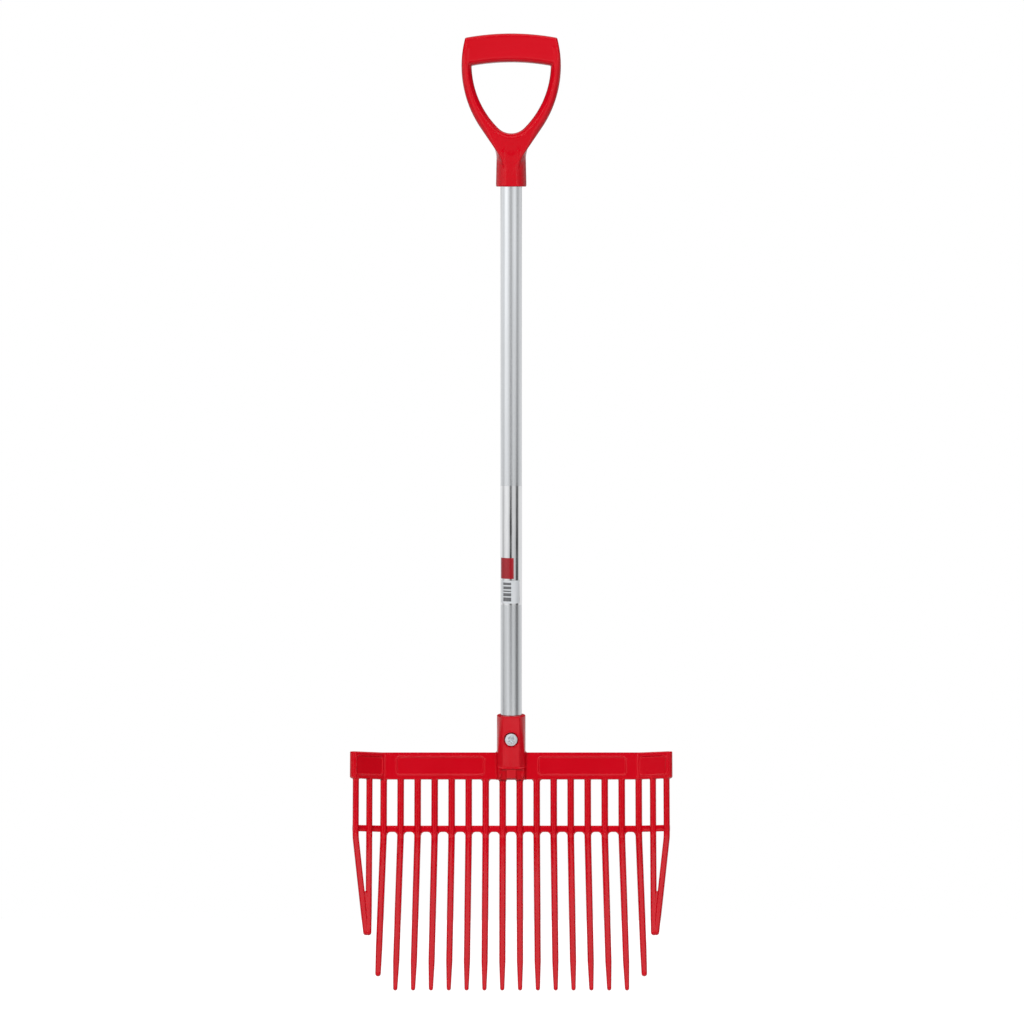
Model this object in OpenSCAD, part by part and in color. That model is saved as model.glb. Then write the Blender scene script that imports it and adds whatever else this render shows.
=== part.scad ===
// Manure fork with a moulded head of twenty tines, a tube shaft and a D-grip.
// Millimetres. The shaft runs along Z, the front of the fork faces -Y.
// The origin is the point under the middle of the hand bar where a hook holds the fork.

/* [Shaft] */
// Outside diameter of the tube
tube_d = 25; // [22:0.5:26]
// Wall thickness of the tube
tube_wall = 1.5; // [1:0.1:3]
// Length of bare tube between the grip and the head
tube_bare = 618.6; // [400:0.1:900]
// Length of the label on the tube
label_len = 140; // [60:1:200]
// Distance from the head's socket up to the label
label_rise = 130.6; // [20:0.1:200]
// Part of the tube's circumference that the label covers, in degrees
label_wrap = 250; // [120:5:330]

/* [Grip] */
// Width of the grip across its arms
grip_w = 115; // [105:1:130]
// Distance from the underside of the hand bar to the end of the grip's socket
grip_drop = 143.7; // [135:0.1:160]
// Height of the hand bar
bar_h = 32.7; // [28:0.1:36]
// Depth of the hand bar from front to back
bar_depth = 30; // [26:0.5:34]
// Radius of the arch under the hand bar
bar_arch_r = 257.5; // [200:0.5:400]
// Height of the hand opening in the middle
opening_h = 82; // [76:0.5:86]
// Width of each arm at the top of the opening
arm_w = 11.7; // [9:0.1:14]
// Depth of the arms from front to back
arm_depth = 24; // [21:0.5:25]
// Radius of the arms' outer sides
side_r = 125; // [115:1:140]
// Radius of the opening's sides
opening_r = 104; // [98:0.5:112]
// Outside diameter of the grip's socket at its end
grip_socket_d = 35.6; // [34:0.1:40]
// Outside diameter of the grip's socket at its root
grip_root_d = 33.3; // [32:0.1:37]
// Depth of the tube in the grip
grip_insert = 28; // [20:0.5:29]

/* [Head socket] */
// Outside diameter of the round socket
socket_d = 33.3; // [31:0.1:38]
// Length of the socket along the tube
socket_len = 61.1; // [55:0.1:75]
// Thickness of the socket's floor under the tube
socket_floor = 6.1; // [3:0.1:10]
// Width of the flat on the socket's front and back
boss_w = 19.6; // [18.5:0.1:22]
// Distance from the tube's axis to the flat on the front
boss_front = 18; // [17:0.1:20]
// Distance from the tube's axis to the flat on the back
boss_back = 21; // [20:0.1:24]
// Distance from the socket's rim to the bolt
bolt_drop = 27.5; // [20:0.5:32]

/* [Head panel] */
// Forward lean of the head against the shaft, in degrees
lean = 12; // [5:0.5:18]
// Height of the panel
panel_h = 31.7; // [28:0.1:40]
// Thickness of the panel
panel_t = 8; // [7:0.1:10]
// Distance from the outer tine to the end of the wing
wing_end = 5.4; // [4:0.1:12]
// Forward fold of the wings, in degrees
wing_fold = 35; // [20:1:45]
// Length of the sunk field on each half of the panel
field_w = 102; // [80:1:106]
// Height of the sunk fields
field_h = 20.3; // [16:0.1:24]
// Depth of the sunk fields
field_depth = 0.8; // [0.4:0.1:1.5]

/* [Tines] */
// Distance between neighbouring tines
tine_pitch = 20; // [18:0.1:24]
// Diameter of the tines
tine_d = 7.6; // [6.5:0.1:8]
// Diameter of the tines where the point begins
point_d = 6.9; // [6:0.1:7.4]
// Diameter of the rounded tips
tip_d = 4.6; // [4:0.1:5.5]
// Length of the point
point_len = 46; // [30:1:60]
// Bend of the tines under the crossbar, in degrees
bend = 46; // [30:1:55]
// Radius of the bend
bend_r = 14; // [10:0.5:18]
// Length of the long tines from the corner of the bend to the tip
tine_reach = 256; // [220:1:300]
// Length of the two tines at the creases
crease_reach = 233; // [200:1:250]
// Length of the tines on the wings
wing_reach = 166; // [140:1:180]
// Diameter of the tines on the wings
wing_tine_d = 7; // [6.6:0.1:7.5]
// Diameter of the blunt tips of the wings
wing_tip_d = 6.4; // [5:0.1:6.5]
// Inward turn of the inner wing tine, in degrees
wing_turn = 2; // [0:0.5:5]

/* [Crossbar] */
// Height of the open slots between the panel and the crossbar
slot_h = 54; // [45:0.5:65]
// Height of the crossbar
crossbar_h = 7.5; // [6:0.1:9]
// Depth of the crossbar from front to back
crossbar_depth = 5; // [4:0.1:6]
// Distance of the crossbar's front behind the tines' centre line
crossbar_set = 0.5; // [0.2:0.1:1.5]
// Radius of the arches under the crossbar
arch_r = 4; // [2.5:0.1:5]

/* [Fasteners] */
// Thread diameter of the head bolt
bolt_d = 6; // [5:0.5:7]
// Diameter of the head bolt's head
bolt_head_d = 14.5; // [12:0.1:15]
// Height of the head bolt's head
bolt_head_h = 4; // [3:0.1:5]
// Width of the nut across its flats
nut_af = 10; // [9:0.1:12]
// Height of the nut
nut_h = 5; // [4:0.1:5.5]
// Thread diameter of the grip screw
screw_d = 4; // [3:0.1:4.5]
// Length of the grip screw under its head
screw_len = 9; // [7:0.5:12]

/* [Hidden] */
$fn = 96;
main_count = 16;
wing_count = 2;
tine_count = main_count + 2 * wing_count;

// Clearances and cuts
fit_gap = 0.1;
bolt_gap = 0.2;
thread_gap = 0.05;
label_glue = 0.05;
label_t = 0.2;
overrun = 1;

// Shaft
tube_r = tube_d / 2;
bore_r = tube_r + fit_gap;
rim_z = -grip_drop - tube_bare;
tube_top = -grip_drop + grip_insert;
head_insert = socket_len - socket_floor;
tube_end = rim_z - head_insert;

// Grip
side_centre_z = -5;
opening_centre_z = -2;
arm_edge = 7;
bar_edge = 12;
bar_end_edge = 5;
chamfer = 4.5;
side_centre_x = side_r - grip_w / 2;
opening_centre_x = opening_r - (grip_w / 2 - arm_w);
crook_z = (pow(opening_r - opening_h, 2) - pow(opening_centre_x, 2) - pow(opening_centre_z, 2))
  / (2 * (opening_r - opening_h - opening_centre_z));
crook_r = crook_z + opening_h;
crook_span = norm([opening_centre_x, crook_z - opening_centre_z]);
crook_dir = [opening_centre_x, crook_z - opening_centre_z] / crook_span;
tongue_w = 12.3;
tongue_len = 16.7;
crook_wall = 13;
grip_root_len = grip_drop - opening_h - crook_wall;
tongue_y = sqrt(pow(grip_socket_d / 2, 2) - pow(tongue_w / 2, 2));
grip_size = grip_w + grip_drop;

// Grip screw
screw_head_d = 7.5;
screw_head_h = 2.6;
screw_drop = 11;
screw_z = -grip_drop + screw_drop;

// Head socket and bolt
boss_flank_w = 27.6;
boss_flank_y = 9.3;
counterbore_d = 17;
counterbore_depth = 2.6;
nut_sink = 1;
nut_pocket_depth = nut_h + nut_sink;
bolt_seat_y = -boss_front + counterbore_depth;
nut_seat_y = boss_back - nut_pocket_depth;
bolt_len = nut_seat_y + nut_h - bolt_seat_y;
bolt_z = rim_z - bolt_drop;
recess_w = 1.6;
recess_span = 7;
recess_depth = 2;

// Head frame: its origin lies on the tube's axis at the socket's end
head_z = rim_z - socket_len;
crease_x = (main_count - 1) / 2 * tine_pitch;
panel_bottom = -panel_h / 2;
wing_len = wing_count * tine_pitch + wing_end;
field_r = 3.5;
wing_field_margin = 5.5;
wing_field_start = 3;
wing_field_w = wing_len - wing_field_margin - wing_field_start;
field_x = (socket_d / 2 + crease_x) / 2;
pad_w = 11.8;
pad_h = 10;
pad_depth = 4;
pad_lift = 1.5;

// Crossbar
crossbar_top = panel_bottom - slot_h;
crossbar_bottom = crossbar_top - crossbar_h;
foot_bottom = crossbar_bottom - arch_r;
crossbar_back = crossbar_set + crossbar_depth;
arch_land = 0.4;
arch_w = tine_pitch - tine_d - 2 * arch_land;

// Tines: they bend just under the crossbar and go on a step slimmer, at the mould's parting
bend_drop = 0.4;
bend_step = 0.1;
wing_point_d = wing_tine_d - 2 * bend_step;
corner_z = crossbar_bottom - bend_drop - bend_r * tan(bend / 2);
wing_w = tine_pitch * [cos(wing_fold), -sin(wing_fold), 0];
inner_top = [crease_x, 0, 0] + wing_w;
outer_top = [crease_x, 0, 0] + 2 * wing_w;
inner_corner = inner_top + [0, 0, corner_z];
outer_corner = outer_top + [0, 0, corner_z];
inner_dir = [-sin(wing_turn) * sin(bend), -cos(wing_turn) * sin(bend), -cos(bend)];
wing_tip = inner_corner + wing_reach * inner_dir;
outer_run = wing_tip - outer_corner;
outer_reach = norm(outer_run);
outer_dir = outer_run / outer_reach;
outer_bend = acos(-outer_dir.z);
outer_turn = atan2(-outer_dir.x, -outer_dir.y);
merge_run = inner_dir - outer_dir;
merge_dir = merge_run / norm(merge_run);
merge_len = wing_reach / 2;

// Looks
red = [0.80, 0.06, 0.10];
bare_aluminium = [0.78, 0.79, 0.80];
zinc = [0.72, 0.74, 0.76];
label_white = [0.94, 0.94, 0.93];

function two_digits(i) = str(i < 10 ? "0" : "", i);
function tine_name(i) = str("tine_", two_digits(i));
// Distance of a main tine, counted from -X, from the middle of the head
function main_x(i) = (i - (main_count - 1) / 2) * tine_pitch;
// The edge of a strip at a distance behind the tines' centre line, drawn towards side s
function strip_edge(behind, wing, s = 1) =
  let (fold_x = crease_x + behind * tan(wing_fold / 2),
       end_x = crease_x + wing * cos(wing_fold) + behind * sin(wing_fold),
       end_y = behind * cos(wing_fold) - wing * sin(wing_fold))
  [[-s * end_x, end_y], [-s * fold_x, behind], [s * fold_x, behind], [s * end_x, end_y]];

// The head leans forward about the socket's end
module head_frame() {
  translate([0, 0, head_z]) rotate([-lean, 0, 0]) children();
}

// Both sides of the fork, +X first
module both_sides() {
  children();
  mirror([1, 0, 0]) children();
}

// A disc about the Y axis with a rounded rim
module rounded_disc(r, depth, edge) {
  rotate([90, 0, 0]) rotate_extrude() {
    translate([0, -depth / 2]) square([r - edge, depth]);
    translate([0, -depth / 2 + edge]) square([r, depth - 2 * edge]);
    for (s = [-1, 1]) translate([r - edge, s * (depth / 2 - edge)])
      intersection() {
        circle(edge);
        translate([0, -edge]) square([edge, 2 * edge]);
      }
  }
}

// A disc about the Y axis whose rim flares out to both faces
module flared_disc(r, depth, flare) {
  half = depth / 2;
  out = half + overrun;
  rotate([90, 0, 0]) rotate_extrude()
    polygon([
      [0, -out], [r + flare + overrun, -out], [r, -half + flare],
      [r, half - flare], [r + flare + overrun, out], [0, out]]);
}

// The outer outline of the grip, where two discs meet
module grip_lens(depth, edge) {
  intersection() {
    translate([side_centre_x, 0, side_centre_z]) rounded_disc(side_r, depth, edge);
    translate([-side_centre_x, 0, side_centre_z]) rounded_disc(side_r, depth, edge);
  }
}

// The hand opening, chamfered on both faces
module hand_opening() {
  intersection() {
    translate([opening_centre_x, 0, opening_centre_z])
      flared_disc(opening_r, arm_depth, chamfer);
    translate([-opening_centre_x, 0, opening_centre_z])
      flared_disc(opening_r, arm_depth, chamfer);
    rotate([90, 0, 0]) linear_extrude(grip_size, center = true)
      polygon([
        [0, crook_z],
        [grip_size * crook_dir.x, crook_z + grip_size * crook_dir.y],
        [grip_size, grip_size], [-grip_size, grip_size],
        [-grip_size * crook_dir.x, crook_z + grip_size * crook_dir.y]]);
  }
  translate([0, 0, crook_z]) flared_disc(crook_r, arm_depth, chamfer);
}

module grip_bar() {
  intersection() {
    translate([0, 0, -bar_arch_r]) rotate([90, 0, 0]) rotate_extrude()
      translate([bar_arch_r + bar_h / 2, 0]) {
        square([bar_h - 2 * bar_edge, bar_depth], center = true);
        square([bar_h, bar_depth - 2 * bar_edge], center = true);
        for (sx = [-1, 1], sy = [-1, 1])
          translate([sx * (bar_h / 2 - bar_edge), sy * (bar_depth / 2 - bar_edge)])
            circle(bar_edge);
      }
    grip_lens(bar_depth, bar_end_edge);
  }
}

module grip_arms() {
  difference() {
    grip_lens(arm_depth, arm_edge);
    translate([-grip_size, -grip_size, bar_h / 2]) cube(2 * grip_size);
    hand_opening();
  }
}

// The grip's socket: a cone with a flat tongue down its front and back
module grip_socket() {
  translate([0, 0, -grip_drop]) intersection() {
    cylinder(h = grip_root_len, d1 = grip_socket_d, d2 = grip_root_d);
    rotate([90, 0, 90]) linear_extrude(2 * grip_socket_d, center = true)
      polygon([
        [tongue_y, 0], [tongue_y, tongue_len], [arm_depth / 2, grip_root_len],
        [-arm_depth / 2, grip_root_len], [-tongue_y, tongue_len], [-tongue_y, 0]]);
  }
}

// The outside of the head's socket, which also cuts the panel
module socket_outside() {
  translate([0, 0, head_z]) {
    cylinder(h = socket_len, d = socket_d);
    linear_extrude(socket_len)
      polygon([
        [-boss_w / 2, -boss_front], [boss_w / 2, -boss_front],
        [boss_flank_w / 2, -boss_flank_y], [boss_flank_w / 2, boss_flank_y],
        [boss_w / 2, boss_back], [-boss_w / 2, boss_back],
        [-boss_flank_w / 2, boss_flank_y], [-boss_flank_w / 2, -boss_flank_y]]);
  }
}

// A cross recess sunk from the origin along -Z
module cross_recess(span, width, depth) {
  for (a = [0, 90]) rotate([0, 0, a])
    translate([-span / 2, -width / 2, -depth]) cube([span, width, depth + overrun]);
}

// A domed screw head that stands on the origin
module domed_head(d, h) {
  dome_r = (pow(d / 2, 2) + pow(h, 2)) / (2 * h);
  intersection() {
    translate([0, 0, h - dome_r]) sphere(dome_r);
    cylinder(h = h, d = d);
  }
}

// A flat field with round corners, sunk into a face that looks along -Y
module sunk_field(w, h, depth) {
  rotate([90, 0, 0]) translate([0, 0, -depth]) linear_extrude(depth + overrun) {
    square([w - 2 * field_r, h], center = true);
    square([w, h - 2 * field_r], center = true);
    for (sx = [-1, 1], sy = [-1, 1])
      translate([sx * (w / 2 - field_r), sy * (h / 2 - field_r)]) circle(field_r);
  }
}

// A tine from the panel's underside: a straight stem, the bend and the long point
module tine_rod(top, turn, angle, reach, d, point, tip) {
  corner = bend_r * tan(angle / 2);
  stem_end = corner_z + corner;
  body_len = reach - corner - point_len;
  translate(top) rotate([0, 0, -turn]) {
    translate([0, 0, stem_end]) cylinder(h = panel_bottom - stem_end, d = d);
    translate([0, -bend_r, stem_end]) {
      rotate([-90, 0, 90]) rotate_extrude(angle = angle) translate([bend_r, 0]) circle(d = d);
      rotate([-angle, 0, 0]) translate([0, bend_r, 0]) mirror([0, 0, 1]) rotate([0, 0, -90]) {
        translate([0, 0, -overrun])
          cylinder(h = body_len + overrun, d1 = d - 2 * bend_step, d2 = point);
        translate([0, 0, body_len])
          cylinder(h = point_len - tip / 2, d1 = point, d2 = tip);
        translate([0, 0, reach - corner - tip / 2]) rotate([90, 0, 0]) sphere(d = tip);
      }
    }
  }
}

// The half of space on one side of the plane where two wing tines merge
module merge_side(s) {
  translate(wing_tip)
    rotate([0, acos(s * merge_dir.z), atan2(s * merge_dir.y, s * merge_dir.x)])
      translate([-merge_len, -merge_len, 0]) cube(2 * merge_len);
}

// The plan of a strip along the middle of the head and both wings, from front to back
module folded_strip(front, back, wing) {
  polygon(concat(strip_edge(front, wing), strip_edge(back, wing, -1)));
}

// An open arch between two main tines, under the crossbar
module arch_cut() {
  translate([-arch_w / 2, foot_bottom - overrun]) square([arch_w, overrun]);
  translate([-arch_w / 2 + arch_r, crossbar_bottom - arch_r]) square([arch_w - 2 * arch_r, arch_r]);
  for (s = [-1, 1])
    translate([s * (arch_w / 2 - arch_r), crossbar_bottom - arch_r]) circle(arch_r);
}

module crossbar_solid() {
  translate([0, 0, crossbar_bottom]) linear_extrude(crossbar_h)
    folded_strip(crossbar_set, crossbar_back, wing_count * tine_pitch);
  translate([0, crossbar_back, 0]) rotate([90, 0, 0]) linear_extrude(crossbar_depth)
    difference() {
      translate([-crease_x, foot_bottom]) square([2 * crease_x, crossbar_top - foot_bottom]);
      for (i = [1:main_count - 1])
        translate([main_x(i) - tine_pitch / 2, 0]) arch_cut();
    }
}

module shaft_tube() {
  color(bare_aluminium) difference() {
    translate([0, 0, tube_end]) cylinder(h = tube_top - tube_end, r = tube_r);
    translate([0, 0, tube_end - overrun])
      cylinder(h = tube_top - tube_end + 2 * overrun, r = tube_r - tube_wall);
    translate([0, 0, bolt_z]) rotate([90, 0, 0])
      cylinder(h = 2 * tube_d, d = bolt_d + 2 * bolt_gap, center = true);
    translate([0, 0, screw_z]) rotate([-90, 0, 0])
      cylinder(h = tube_d, d = screw_d + 2 * thread_gap);
  }
}

module shaft_label() {
  color(label_white) translate([0, 0, rim_z + label_rise])
    rotate([0, 0, -90 - label_wrap / 2]) rotate_extrude(angle = label_wrap)
      translate([tube_r + label_glue, 0]) square([label_t, label_len]);
}

module d_grip() {
  color(red) difference() {
    union() {
      grip_bar();
      grip_arms();
      grip_socket();
    }
    translate([0, 0, -grip_drop - overrun]) cylinder(h = grip_insert + overrun, r = bore_r);
    translate([0, 0, screw_z]) rotate([-90, 0, 0])
      cylinder(h = grip_socket_d, d = screw_d + 2 * thread_gap);
  }
}

module grip_screw() {
  color(zinc) translate([0, tongue_y, screw_z]) rotate([-90, 0, 0]) difference() {
    union() {
      domed_head(screw_head_d, screw_head_h);
      translate([0, 0, -screw_len]) cylinder(h = screw_len, d = screw_d);
    }
    translate([0, 0, screw_head_h])
      cross_recess(recess_span / 2, recess_w / 2, recess_depth / 2);
  }
}

module head_socket() {
  color(red) difference() {
    socket_outside();
    translate([0, 0, tube_end]) cylinder(h = head_insert + overrun, r = bore_r);
    translate([0, 0, bolt_z]) rotate([90, 0, 0]) {
      cylinder(h = 2 * socket_d, d = bolt_d + 2 * bolt_gap, center = true);
      translate([0, 0, -bolt_seat_y]) cylinder(h = socket_d, d = counterbore_d);
    }
    translate([0, nut_seat_y, bolt_z]) rotate([-90, 0, 0])
      cylinder(h = socket_d, d = (nut_af + 2 * fit_gap) / cos(30), $fn = 6);
  }
}

module head_panel() {
  color(red) difference() {
    head_frame() {
      difference() {
        translate([0, 0, panel_bottom]) linear_extrude(panel_h)
          folded_strip(-panel_t / 2, panel_t / 2, wing_len);
        both_sides() translate([field_x, -panel_t / 2, 0])
          sunk_field(field_w, field_h, field_depth);
        both_sides() translate([crease_x, 0, 0]) rotate([0, 0, -wing_fold])
          translate([wing_field_start + wing_field_w / 2, -panel_t / 2, 0])
            sunk_field(wing_field_w, field_h, field_depth);
      }
      translate([-pad_w / 2, -panel_t / 2 - pad_depth, panel_bottom + pad_lift])
        cube([pad_w, panel_t / 2 + pad_depth, pad_h]);
    }
    socket_outside();
  }
}

module head_crossbar() {
  color(red) head_frame() crossbar_solid();
}

module head_bolt() {
  color(zinc) translate([0, bolt_seat_y, bolt_z]) rotate([90, 0, 0]) difference() {
    union() {
      domed_head(bolt_head_d, bolt_head_h);
      translate([0, 0, -bolt_len]) cylinder(h = bolt_len, d = bolt_d);
    }
    translate([0, 0, bolt_head_h]) rotate([0, 0, 45])
      cross_recess(recess_span, recess_w, recess_depth);
  }
}

module head_nut() {
  color(zinc) translate([0, nut_seat_y, bolt_z]) rotate([-90, 0, 0]) difference() {
    cylinder(h = nut_h, d = nut_af / cos(30), $fn = 6);
    translate([0, 0, -overrun])
      cylinder(h = nut_h + 2 * overrun, d = bolt_d + 2 * thread_gap);
  }
}

// The outer wing tine runs in to the inner one's tip
module outer_wing_tine() {
  difference() {
    tine_rod(outer_top, outer_turn, outer_bend, outer_reach,
      wing_tine_d, wing_point_d, wing_tip_d);
    crossbar_solid();
    merge_side(-1);
  }
}

module inner_wing_tine() {
  difference() {
    tine_rod(inner_top, wing_turn, bend, wing_reach, wing_tine_d, wing_point_d, wing_tip_d);
    crossbar_solid();
    merge_side(1);
  }
}

module main_tine(i) {
  at_crease = i == 0 || i == main_count - 1;
  difference() {
    tine_rod([main_x(i), 0, 0], 0, bend, at_crease ? crease_reach : tine_reach,
      tine_d, point_d, tip_d);
    crossbar_solid();
  }
}

// Tine number i, counted from -X
module tine(i) {
  color(red) head_frame() {
    if (i == 1) mirror([1, 0, 0]) outer_wing_tine();
    else if (i == wing_count) mirror([1, 0, 0]) inner_wing_tine();
    else if (i == tine_count) outer_wing_tine();
    else if (i == tine_count - 1) inner_wing_tine();
    else main_tine(i - wing_count - 1);
  }
}

shaft_tube();
shaft_label();
d_grip();
grip_screw();
head_socket();
head_panel();
head_crossbar();
head_bolt();
head_nut();
for (i = [1:tine_count]) tine(i);
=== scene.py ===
"""Looks of the manure fork: moulded red head and grip, bare tube, fasteners and a plain label.

Mesh code works in millimetres in the row frame; pieces are scaled to metres when they are made.
"""
from math import acos, atan2, cos, pi, radians, sin, sqrt, tan

import bpy
import numpy as np
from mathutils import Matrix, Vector


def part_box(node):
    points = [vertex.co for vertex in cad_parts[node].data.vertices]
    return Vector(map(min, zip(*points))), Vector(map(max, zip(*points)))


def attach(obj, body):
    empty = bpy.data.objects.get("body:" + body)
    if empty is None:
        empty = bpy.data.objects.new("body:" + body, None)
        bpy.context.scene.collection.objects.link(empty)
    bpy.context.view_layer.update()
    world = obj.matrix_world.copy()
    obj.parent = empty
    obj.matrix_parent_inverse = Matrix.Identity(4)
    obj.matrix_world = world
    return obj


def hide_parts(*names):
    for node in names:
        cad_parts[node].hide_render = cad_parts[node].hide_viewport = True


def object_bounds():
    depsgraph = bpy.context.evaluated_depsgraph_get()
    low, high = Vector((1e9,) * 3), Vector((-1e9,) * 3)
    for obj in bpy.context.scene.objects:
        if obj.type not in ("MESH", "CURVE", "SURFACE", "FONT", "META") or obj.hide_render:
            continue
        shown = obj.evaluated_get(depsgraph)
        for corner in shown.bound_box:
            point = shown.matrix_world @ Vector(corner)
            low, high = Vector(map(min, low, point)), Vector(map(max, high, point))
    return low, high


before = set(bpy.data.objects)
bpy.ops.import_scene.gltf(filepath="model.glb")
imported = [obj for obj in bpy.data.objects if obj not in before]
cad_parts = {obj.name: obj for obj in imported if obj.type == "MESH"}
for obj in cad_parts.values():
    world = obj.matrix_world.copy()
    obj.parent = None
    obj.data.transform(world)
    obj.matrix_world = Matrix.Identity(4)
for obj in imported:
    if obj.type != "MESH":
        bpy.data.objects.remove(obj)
cad_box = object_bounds()

MM = 0.001
SHADE_SHARP = radians(38)


def span(node):
    """Lowest and highest corner of a CAD node, in millimetres."""
    low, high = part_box(node)
    return np.array(low) / MM, np.array(high) / MM


# Sizes from the frame
tube_low, tube_high = span("shaft_tube")
grip_low, grip_high = span("d_grip")
socket_low, socket_high = span("head_socket")
label_low, label_high = span("shaft_label")
bolt_low, bolt_high = span("head_bolt")
nut_low, nut_high = span("head_nut")
screw_low, screw_high = span("grip_screw")
tine_a, tine_b = span("tine_10"), span("tine_11")
tube_r = tube_high[0]
tube_wall = 1.5
grip_w = 2 * grip_high[0]
bar_h = grip_high[2]
grip_drop = -grip_low[2]
rim_z, head_z = socket_high[2], socket_low[2]
socket_r = socket_high[0]
boss_front, boss_back = -socket_low[1], socket_high[1]
tine_d = tine_b[1][0] - tine_b[0][0]
tine_pitch = tine_b[0][0] - tine_a[0][0]
bolt_z = (bolt_low[2] + bolt_high[2]) / 2
screw_z = (screw_low[2] + screw_high[2]) / 2

# Sizes of the head, as in the part's source
lean = radians(12)
panel_h, panel_t = 31.7, 8.0
panel_bottom = -panel_h / 2
wing_fold = radians(35)
wing_len = 45.4
crease_x = 7.5 * tine_pitch
crease_round = 12.0
field_w, field_h, field_r, field_depth, field_bead = 102.0, 20.3, 3.5, 0.5, 0.45
wing_field_more, wing_field_depth = 1.2, 0.8
slot_h, crossbar_h, crossbar_depth, crossbar_set = 54.0, 7.5, 5.0, 0.5
crossbar_top = panel_bottom - slot_h
crossbar_bottom = crossbar_top - crossbar_h
arch_r, arch_land = 4.0, 0.4
bend, bend_r, bend_drop = radians(46), 14.0, 0.4
corner_z = crossbar_bottom - bend_drop - bend_r * tan(bend / 2)
tine_reach, crease_reach, wing_reach = 256.0, 233.0, 166.0
point_d, tip_d, crease_tip_d, point_len = 7.3, 4.9, 6.5, 46.0
wing_tine_d, wing_tip_d, wing_tip_gap, wing_turn = 7.4, 6.7, 2.6, radians(2)
wing_outer_step = 0.945
web_len, web_half = 71.0, 2.6
rod_d = tine_d + 0.4
root_r, middle_root_r, wing_root_r = 1.0, 3.2, 1.2


def to_row(p):
    """Points of the leaning head's own frame in the row frame."""
    p = np.asarray(p, float)
    y = p[..., 1] * cos(lean) + p[..., 2] * sin(lean)
    z = -p[..., 1] * sin(lean) + p[..., 2] * cos(lean) + head_z
    return np.stack([p[..., 0], y, z], -1)


# Materials

def maths(nodes, links, operation, first, second):
    """The result of a Math node on two values, each a number or another node's output."""
    node = nodes.new("ShaderNodeMath")
    node.operation = operation
    for socket, value in zip(node.inputs, (first, second)):
        if isinstance(value, (int, float)):
            socket.default_value = value
        else:
            links.new(value, socket)
    return node.outputs[0]


def tree(name):
    """A new material's nodes, links, shader and object coordinates."""
    mat = bpy.data.materials.new(name)
    mat.use_nodes = True
    nodes, links = mat.node_tree.nodes, mat.node_tree.links
    return mat, nodes, links, nodes["Principled BSDF"], nodes.new("ShaderNodeTexCoord")


def stretched_noise(nodes, links, coords, scale, detail=3.0):
    """Noise whose grain has its own frequency along each axis, in cycles a metre."""
    mapping = nodes.new("ShaderNodeMapping")
    mapping.inputs["Scale"].default_value = scale
    links.new(coords.outputs["Object"], mapping.inputs["Vector"])
    noise = nodes.new("ShaderNodeTexNoise")
    noise.inputs["Scale"].default_value = 1.0
    noise.inputs["Detail"].default_value = detail
    links.new(mapping.outputs["Vector"], noise.inputs["Vector"])
    return noise


def mapped(nodes, links, value, low, high):
    """A noise value moved from its usual 0.3 to 0.7 to another range."""
    remap = nodes.new("ShaderNodeMapRange")
    remap.inputs["From Min"].default_value = 0.3
    remap.inputs["From Max"].default_value = 0.7
    remap.inputs["To Min"].default_value = low
    remap.inputs["To Max"].default_value = high
    links.new(value, remap.inputs["Value"])
    return remap.outputs["Result"]


def two_tone(nodes, links, value, first, second):
    """A colour between two, by a noise value."""
    ramp = nodes.new("ShaderNodeValToRGB")
    ramp.color_ramp.elements[0].position, ramp.color_ramp.elements[1].position = 0.3, 0.7
    ramp.color_ramp.elements[0].color = (*first, 1)
    ramp.color_ramp.elements[1].color = (*second, 1)
    links.new(value, ramp.inputs["Fac"])
    return ramp.outputs["Color"]


def bumped(nodes, links, shader, height, distance, strength):
    """Fine relief on a shader's surface."""
    bump = nodes.new("ShaderNodeBump")
    bump.inputs["Distance"].default_value = distance
    bump.inputs["Strength"].default_value = strength
    links.new(height, bump.inputs["Height"])
    links.new(bump.outputs["Normal"], shader.inputs["Normal"])


def red_plastic():
    """Glossy red moulding with faint flow marks and a fine grain."""
    mat, nodes, links, shader, coords = tree("red_moulded_plastic")
    flow = stretched_noise(nodes, links, coords, (14, 14, 9), 2.0)
    grain = stretched_noise(nodes, links, coords, (900, 900, 900), 2.0)
    links.new(two_tone(nodes, links, flow.outputs["Fac"], (0.60, 0.0008, 0.0085), (0.645, 0.0018, 0.0120)),
              shader.inputs["Base Color"])
    gloss = stretched_noise(nodes, links, coords, (45, 45, 45), 3.0)
    links.new(mapped(nodes, links, gloss.outputs["Fac"], 0.17, 0.23), shader.inputs["Roughness"])
    shader.inputs["Specular IOR Level"].default_value = 0.33
    bumped(nodes, links, shader, grain.outputs["Fac"], 0.0002, 0.05)
    return mat


def bare_aluminium():
    """Drawn tube with fine lines along its length and a sheen that spreads round it."""
    mat, nodes, links, shader, coords = tree("drawn_aluminium")
    lines = stretched_noise(nodes, links, coords, (520, 520, 2.5), 4.0)
    cloud = stretched_noise(nodes, links, coords, (60, 60, 5), 3.0)
    links.new(two_tone(nodes, links, lines.outputs["Fac"], (0.73, 0.75, 0.775), (0.80, 0.82, 0.845)),
              shader.inputs["Base Color"])
    links.new(mapped(nodes, links, cloud.outputs["Fac"], 0.18, 0.24), shader.inputs["Roughness"])
    shader.inputs["Metallic"].default_value = 1.0
    shader.inputs["Anisotropic"].default_value = 0.8
    around = nodes.new("ShaderNodeTangent")
    around.direction_type, around.axis = "RADIAL", "Z"
    links.new(around.outputs["Tangent"], shader.inputs["Tangent"])
    bumped(nodes, links, shader, lines.outputs["Fac"], 0.0001, 0.12)
    return mat


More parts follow.
